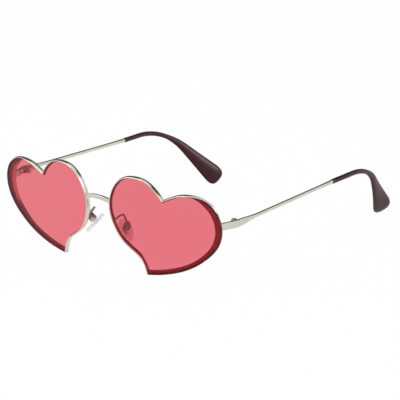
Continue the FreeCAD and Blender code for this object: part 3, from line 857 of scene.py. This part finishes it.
@dataclass(frozen=True)
class SideArm:
    """End piece, temple and moulded tip of each side."""

    front: HeartFront
    hinge_setback: float = 21.6
    hinge_axis_inset: float = 3.1
    lug_thickness: float = 1.3
    lug_height: float = 3.4
    lug_toe_in: float = 1.9
    lug_straight: float = 1.2
    lug_bend_radius: float = 3.0
    lug_sunk: float = 0.3
    foot_overrun: float = 1.0
    butt_gap: float = 0.12
    flare_length: float = 13.5
    wire_height: float = 1.85
    wire_width: float = 1.5
    swell_length: float = 16.0
    swell_height: float = 2.1
    swell_width: float = 1.7
    temple_length: float = 73.6
    temple_sunk: float = 2.0
    tip_diameter: float = 2.45
    tip_length: float = 79.0
    left: ArmSetting = ArmSetting(hinge_drop=0.8, lead=16.8, bend_radius=35.4, rise=0.5,
                                  drop_deg=43.1, inward_deg=21.2, twist_deg=50.0)
    right: ArmSetting = ArmSetting(hinge_drop=-1.2, lead=11.7, bend_radius=44.1, rise=-0.88,
                                   drop_deg=44.6, inward_deg=19.2, twist_deg=-4.0)
    paddle_width: float = 11.8
    paddle_thickness: float = 3.8
    paddle_start_share: float = 0.415
    paddle_round_share: float = 0.89
    paddle_end_share: float = 0.06
    swell_power: float = 1.2
    round_power: float = 2.5
    blunt_power: float = 3.3
    lip_share: float = 0.86
    lip_length: float = 0.35
    flat_power: float = 6.0
    wire_power: float = 2.15
    sleeve_power: float = 2.0
    paddle_power: float = 2.2
    flare_steps: int = 40
    wire_start: float = 1.0
    wire_steps: int = 70
    strip_around: int = 48
    tip_steps: int = 170
    tip_crowding: float = 1.7
    tip_around: int = 44

    @property
    def strip_x(self) -> float:
        """Middle of the strip across the face, from the lens edge."""
        return float(self.front.back_point(self.front.outer_x)[0])

    @property
    def hinge_point(self) -> tuple:
        """Hinge point of the left side in the worn frame."""
        across = self.strip_x + self.lug_thickness / 2 - self.hinge_axis_inset
        return across, self.hinge_setback, -self.left.hinge_drop

    def setting(self, side: Side) -> ArmSetting:
        """Setting of a side's arm."""
        return self.left if side is Side.LEFT else self.right

    def lug_grid(self, side: Side) -> np.ndarray:
        """End piece: a flat section carried from inside the flange along one bend to the hinge.

        Args:
            side: Side whose setting is used.

        Returns:
            Grid of points in the worn frame, for the left side.
        """
        front, strip, level = self.front, self.strip_x, -self.setting(side).hinge_drop
        end_y = self.hinge_setback - self.butt_gap / 2
        foot_y = float(front.back_point(front.outer_x - front.flange_inset - self.lug_thickness / 2)[1])
        corner = np.array([strip, end_y - self.lug_straight, level])
        start = np.array([strip - self.lug_toe_in, foot_y - self.foot_overrun, 0.0])
        run = unit(corner - start)
        start = start + run * (self.foot_overrun + front.ledge_thickness - self.lug_sunk) / run[1]
        path = bent_path(np.stack([start, corner, np.array([strip, end_y, level])]), self.lug_bend_radius)
        return swept(path, self.lug_thickness, self.lug_height, self.flat_power, self.strip_around)

    def temple_grid(self, side: Side) -> np.ndarray:
        """Temple: flat section that narrows to a wire, swells before the tip and ends inside it.

        Its height follows a straight line from the hinge to the tip.

        Args:
            side: Side whose setting is used.

        Returns:
            Grid of points in the worn frame, for the left side.
        """
        arm = self.setting(side)
        past = np.concatenate([np.linspace(self.butt_gap / 2, self.flare_length, self.flare_steps),
                               np.linspace(self.flare_length + self.wire_start,
                                           self.temple_length + self.temple_sunk, self.wire_steps)])
        flare = eased(past / self.flare_length)
        swell = eased((past - self.temple_length + self.swell_length) / self.swell_length)
        width = between(self.lug_thickness, self.wire_width, flare) + (self.swell_width - self.wire_width) * swell
        height = between(self.lug_height, self.wire_height, flare) + (self.swell_height - self.wire_height) * swell
        power = between(self.flat_power, self.wire_power, flare)
        within = np.minimum(past / self.temple_length, 1.0)
        up = (arm.hinge_drop + arm.rise) * within - arm.hinge_drop
        path = np.stack([np.full_like(past, self.strip_x), self.hinge_setback + past, up], -1)
        return swept(path, width, height, power, self.strip_around)

    def tip_grid(self, side: Side) -> np.ndarray:
        """Tip: round sleeve with a lip, one bend, and a flat twisted paddle with a blunt end.

        The path is a straight lead, an arc towards the final heading and a straight run. Width and thickness
        grow by a power of the place right to the end, where both shrink as a superellipse closes.

        Args:
            side: Side whose bend is used.

        Returns:
            Grid of points in the worn frame, for the left side.
        """
        arm = self.setting(side)
        lead, radius = arm.lead, arm.bend_radius
        first = np.array([0.0, 1.0, 0.0])
        final = turn(turn(first, 0, -arm.drop_deg), 2, arm.inward_deg)
        angle = math.acos(float(final @ first))
        across = unit(final - first * float(final @ first))
        even = np.linspace(0.0, 1.0, self.tip_steps)
        place = np.concatenate([[0.0, self.lip_length / self.tip_length], 1 - (1 - even[2:]) ** self.tip_crowding])
        along = place * self.tip_length
        turned = np.clip((along - lead) / radius, 0.0, angle)[:, None]
        start = np.array([self.strip_x, self.hinge_setback + self.temple_length, arm.rise])
        path = (start + np.minimum(along, lead)[:, None] * first + arc(first, across, radius, turned)
                + np.maximum(along - lead - radius * angle, 0.0)[:, None] * final)
        headings = np.cos(turned) * first + np.sin(turned) * across
        swell = ramp(place, self.paddle_start_share, 1.0) ** self.swell_power
        past = ramp(place, self.paddle_round_share, 1.0)
        kept = np.maximum((1 - past ** self.round_power) ** (1 / self.blunt_power), self.paddle_end_share)
        kept[0] = self.lip_share
        width = between(self.tip_diameter, self.paddle_thickness, swell) * kept
        height = between(self.tip_diameter, self.paddle_width, swell) * kept
        power = between(self.sleeve_power, self.paddle_power, swell)
        return swept(path, width, height, power, self.tip_around, headings, np.radians(arm.twist_deg) * swell)

    def build(self, bench: Bench) -> list:
        """Lays end pieces, temples and tips of both sides.

        Args:
            bench: Where the pieces are laid.

        Returns:
            The two moulded tips.
        """
        tips = []
        for side in Side:
            word = side.word
            bench.lay(word + "_lug", word + "_end_piece", "front", "frame_metal", ("plating",),
                      self.lug_grid(side), side)
            bench.lay(word + "_temple_wire", word + "_temple", word + "_side_arm", "frame_metal", ("plating",),
                      self.temple_grid(side), side)
            tips.append(bench.lay(word + "_moulded_tip", word + "_temple_tip", word + "_side_arm", "tip_plastic",
                                  ("tip",), self.tip_grid(side), side))
        return tips


@dataclass(frozen=True)
class NosePads:
    """Wire arms and soft pads beside the nose gap."""

    front: HeartFront
    spacing: float = 20.4
    setback: float = 9.1
    drop: float = 11.6
    flare_deg: float = 42.0
    splay_deg: float = 24.0
    length: float = 12.4
    width: float = 7.0
    thickness: float = 1.8
    crown: float = 0.12
    mount_offset: float = 0.8
    seat_reach: float = 3.69
    box_height: float = 2.9
    arm_diameter: float = 0.9
    arm_place_share: float = 0.617
    arm_reach: float = 5.3
    arm_climb: float = 1.7
    arm_lean: float = 0.6
    arm_bend_radius: float = 1.0
    arm_sunk: float = 0.3
    wire_power: float = 2.0
    wire_around: int = 20
    around: int = 72
    fill: float = 0.95
    profile: tuple = (
        (0.10, 0.00), (0.55, 0.00), (0.80, 0.01), (0.90, 0.07), (0.965, 0.19), (0.995, 0.36), (1.00, 0.50),
        (0.99, 0.64), (0.955, 0.80), (0.885, 0.92), (0.78, 0.985), (0.55, 1.00), (0.30, 1.00), (0.10, 1.00),
    )

    def placed(self, points: np.ndarray) -> np.ndarray:
        """Points of the pad frame in the worn frame: flared about Y, splayed about Z, then shifted."""
        turned = turn(turn(points, 1, -self.flare_deg), 2, -self.splay_deg)
        return turned + np.array([self.spacing / 2, self.setback, -self.drop])

    def pad_grid(self) -> np.ndarray:
        """Pad: ovals stacked from the back to the nose, whose size follows a rounded profile.

        Each profile row is a share of the oval's half axes and a share of the thickness.

        Returns:
            Grid of points in the worn frame.
        """
        angle = np.linspace(0.0, 2 * math.pi, self.around, endpoint=False)
        table = np.array(self.profile)
        size, depth = table[:, :1], table[:, 1:]
        up = np.cos(angle) * self.length / 2 * size
        along = np.sin(angle) * self.width / 2 * size
        swell = self.crown * (1 - size ** 2) * depth
        across = np.broadcast_to(-self.thickness * depth - swell, up.shape)
        return self.placed(np.stack([across, along, up], -1))

    def arm_grid(self) -> np.ndarray:
        """Arm: round wire carried over one bend from the back of the rim to the top of the pad box.

        Returns:
            Grid of points in the worn frame.
        """
        seat = self.placed(np.array([self.seat_reach, 0.0, self.mount_offset + self.box_height / 2]))
        root = self.front.nasal_point(self.arm_place_share, self.front.rim_depth)
        crest = root + np.array([self.arm_lean, self.arm_reach, self.arm_climb])
        start = root - unit(crest - root) * self.arm_sunk
        end = seat + unit(seat - crest) * self.arm_sunk
        path = bent_path(np.stack([start, crest, end]), self.arm_bend_radius)
        return swept(path, self.arm_diameter, self.arm_diameter, self.wire_power, self.wire_around)

    def build(self, bench: Bench) -> None:
        """Lays arms and pads of both sides.

        Args:
            bench: Where the pieces are laid.
        """
        for side in Side:
            word = side.word
            bench.lay(word + "_pad_wire", word + "_pad_arm", "front", "frame_metal", ("fitting",),
                      self.arm_grid(), side)
            pad = bench.lay(word + "_soft_pad", word + "_nose_pad", word + "_rocking_pad", "pad_silicone", ("pad",),
                            self.pad_grid(), side)


@dataclass(frozen=True)
class Fittings:
    """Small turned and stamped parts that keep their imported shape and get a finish."""

    parts: tuple = (
        ("plating", ("hinge_front_leaf", "hinge_temple_leaf")), ("fitting", ("pad_box",)),
        ("steel", ("hinge_screw", "pad_screw")), ("core", ("pad_core",)),
    )

    def dress(self, nodes: dict, materials: dict) -> None:
        """Gives each fitting its material.

        Args:
            nodes: Packed objects by node name.
            materials: Materials by finish.
        """
        for finish, names in self.parts:
            for side in Side:
                for name in names:
                    node = nodes[side.word + "_" + name]
                    node.data.materials.clear()
                    node.data.materials.append(materials[finish])
                    LOG.info("dressed %s", node.name)


@dataclass(frozen=True)
class Lamp:
    """Square soft light that faces the glasses: place and side in metres, power in watts."""

    name: str
    place: tuple
    size: float
    power: float

    def build(self) -> bpy.types.Object:
        """Sets up the lamp.

        Returns:
            The lamp's object.
        """
        light = bpy.data.lights.new(self.name, "AREA")
        light.size, light.energy = self.size, self.power
        lamp = add_object(self.name, light)
        away = unit(np.array(self.place))
        right = unit(np.cross(UP, away))
        lamp.matrix_world = standing((right, np.cross(away, right), away), self.place)
        return lamp


@dataclass(frozen=True)
class Studio:
    """White sweep, soft light from the camera's side and a dark band that only polish reflects."""

    floor_size: float = 8.0
    floor_drop: float = 0.0002
    floor_glow: float = 0.975
    floor_matte: tuple = (0.95, 0.95, 0.95)
    ambient: float = 0.62
    lamps: tuple = (Lamp("key_light", place=(-0.55, -0.75, 0.75), size=0.9, power=5.5),
                    Lamp("fill_light", place=(0.95, -0.35, 0.5), size=0.7, power=2.0))
    streak: Lamp = Lamp("streak_light", place=(1.42, 0.66, 0.16), size=0.6, power=34.0)
    band_radius: float = 1.6
    band_azimuths_deg: tuple = (-75.0, 75.0)
    band_low_deg: tuple = (-8.0, 50.0)
    band_high_deg: float = 62.0
    band_color: tuple = (0.10, 0.12, 0.09)
    band_steps: int = 25

    def seen_directly(self, shading: Shading) -> bpy.types.NodeSocket:
        """Mask of rays from the camera, from polish and through glass: the greatest of the three.

        Args:
            shading: Tree that the nodes are added to.

        Returns:
            Socket of the mask.
        """
        path = shading.add("ShaderNodeLightPath")
        mask = path.outputs["Is Camera Ray"]
        for ray in ("Is Glossy Ray", "Is Transmission Ray"):
            greater = shading.add("ShaderNodeMath", {0: mask, 1: path.outputs[ray]}, operation="MAXIMUM")
            mask = greater.outputs["Value"]
        return mask

    def make_world(self) -> None:
        """World that is white where it is seen and softer where it lights."""
        world = bpy.data.worlds.new("white_sweep")
        bpy.context.scene.world = world
        world.use_nodes = True
        shading = Shading(world.node_tree)
        level = shading.add("ShaderNodeMapRange", {"Value": self.seen_directly(shading), "To Min": self.ambient})
        sky = shading.add("ShaderNodeBackground", {"Color": (1.0, 1.0, 1.0, 1.0),
                                                   "Strength": level.outputs["Result"]})
        shading.add("ShaderNodeOutputWorld", {"Surface": sky.outputs["Background"]})

    def make_floor(self) -> None:
        """White floor that takes the shadow of the glasses and fades into the sweep."""
        material, shading = new_material("white_floor")
        matte = shading.add("ShaderNodeBsdfDiffuse", {"Color": (*self.floor_matte, 1.0)})
        glow = shading.add("ShaderNodeEmission")
        amount = shading.add("ShaderNodeMath", {0: self.seen_directly(shading), 1: self.floor_glow},
                             operation="MULTIPLY")
        choose = shading.add("ShaderNodeMixShader", {"Fac": amount.outputs["Value"], 1: matte.outputs["BSDF"],
                                                     2: glow.outputs["Emission"]})
        shading.add("ShaderNodeOutputMaterial", {"Surface": choose.outputs["Shader"]})
        ends = np.array([-self.floor_size / 2, self.floor_size / 2])
        across, along = np.meshgrid(ends, ends, indexing="ij")
        grid = np.stack([across, along, np.full_like(across, -self.floor_drop)], -1)
        lay_grid("sweep_floor", grid, [material], sheet=True)

    def make_band(self) -> None:
        """Dark band behind and above, seen only by reflections: part of a sphere with a sloping lower edge."""
        material, shading = new_material("dark_band")
        glow = shading.add("ShaderNodeEmission", {"Color": (*self.band_color, 1.0)})
        shading.add("ShaderNodeOutputMaterial", {"Surface": glow.outputs["Emission"]})
        azimuth = np.radians(np.linspace(*self.band_azimuths_deg, self.band_steps))[:, None]
        low = np.linspace(*self.band_low_deg, self.band_steps)
        elevation = np.radians(np.stack([low, np.full_like(low, self.band_high_deg)], -1))
        rays = np.stack([np.sin(azimuth) * np.cos(elevation), np.cos(azimuth) * np.cos(elevation),
                         np.sin(elevation)], -1)
        band = lay_grid("dark_band", self.band_radius * rays, [material], sheet=True)
        for ray in ("camera", "diffuse", "transmission", "shadow"):
            setattr(band, "visible_" + ray, False)

    def build(self, tips: list) -> None:
        """Sets up sweep, floor, band and lamps.

        Args:
            tips: Moulded tips, the only pieces that the streak light falls on.
        """
        bpy.context.scene.view_settings.view_transform = "Standard"
        self.make_world()
        self.make_floor()
        self.make_band()
        for lamp in self.lamps:
            lamp.build()
        lit = bpy.data.collections.new("streak_lit")
        for tip in tips:
            lit.objects.link(tip)
        self.streak.build().light_linking.receiver_collection = lit


@dataclass(frozen=True)
class PhotoCamera:
    """Camera at the photograph's viewing angle, for a square picture.

    The origin of the worn frame falls on a known pixel, where a millimetre has a known number of pixels.
    """

    azimuth_deg: float = 38.9763
    elevation_deg: float = 17.6128
    roll_deg: float = -0.7379
    distance: float = 802.18
    pixels_per_mm: float = 2.16667
    origin_pixel: tuple = (96.36, 206.297)
    picture: float = 400.0
    sensor: float = 36.0
    clip_start: float = 0.01

    def build(self, stance: Stance) -> None:
        """Places the camera: back along its axis by the distance, then aside so that the origin falls right.

        Its axes are those of a level view from the front, turned by the roll, the elevation and the azimuth.

        Args:
            stance: Where the glasses stand.
        """
        axes = np.array([[1.0, 0.0, 0.0], [0.0, 0.0, 1.0], [0.0, -1.0, 0.0]])
        for axis, degrees in ((1, -self.roll_deg), (0, -self.elevation_deg), (2, self.azimuth_deg)):
            axes = turn(axes, axis, degrees)
        right, above, back = axes
        half = self.picture / 2
        aside = (self.origin_pixel[0] - half) / self.pixels_per_mm
        higher = (half - self.origin_pixel[1]) / self.pixels_per_mm
        spot = stance.points(back * self.distance - right * aside - above * higher)
        lens = bpy.data.cameras.new("photo_camera")
        lens.sensor_fit = "HORIZONTAL"
        lens.sensor_width = self.sensor
        lens.lens = self.sensor * self.pixels_per_mm * self.distance / self.picture
        lens.clip_start = self.clip_start
        camera = add_object("photo_camera", lens)
        camera.matrix_world = standing(stance.turned(axes), spot)
        bpy.context.scene.camera = camera


def main() -> None:
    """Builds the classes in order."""
    logging.basicConfig(level=logging.INFO, format="%(message)s")
    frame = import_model()
    make_noise_group("soft_mottle", detail=4.0, squeeze=(1.0, 1.0, 1.0), levels=(0.32, 0.68))
    make_noise_group("drawn_hairlines", detail=3.0, squeeze=(1.0, 0.06, 1.0), levels=(0.0, 1.0))
    materials = {key: finish.make() for key, finish in FINISHES.items()}
    front = HeartFront()
    arms = SideArm(front)
    hinge = next(joint for joint in frame["joints"] if joint["name"] == "left_fold")
    stance = Stance.of_hinge(hinge, arms.hinge_point)
    bench = Bench(stance, materials)
    front.build(bench)
    Bridge(front).build(bench)
    tips = arms.build(bench)
    NosePads(front).build(bench)
    Fittings().dress(frame["nodes"], materials)
    Studio().build(tips)
    PhotoCamera().build(stance)
    bpy.context.view_layer.update()


if __name__ == "__main__":
    main()
